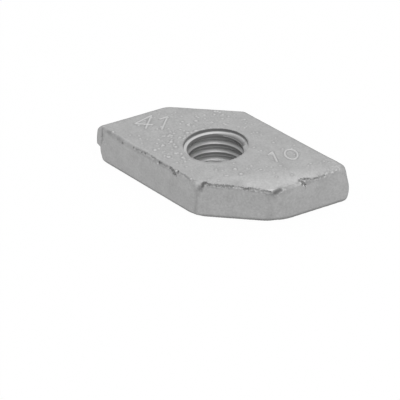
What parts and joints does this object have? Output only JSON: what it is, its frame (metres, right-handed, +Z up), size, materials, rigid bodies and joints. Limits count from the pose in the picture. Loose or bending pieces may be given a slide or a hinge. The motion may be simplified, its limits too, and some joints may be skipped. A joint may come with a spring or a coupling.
{
  "type": "channel nut",
  "caption": "Flat slanted plate nut with cut corners and a central threaded hole, set in a slotted channel and turned so that its tips lock against the walls.",
  "frame": {"origin": "middle of the underside's outline, on the surface that the nut lies on; the hole's axis stands 0.5 mm from it towards -X and 0.5 mm towards -Y", "axes": "+X along the two long sides towards the right tip, +Y across the nut towards the long side that the right tip ends, +Z up through the thread towards the clamping face"},
  "size_m": [0.037, 0.0204, 0.0061],
  "materials": {
    "zinc_steel": "dull hot-dip galvanised grey, faintly mottled, with small zinc specks and burred sheared edges"
  },
  "bodies": {
    "root": {"channel_nut": "zinc_steel"}
  },
  "joints": []
}
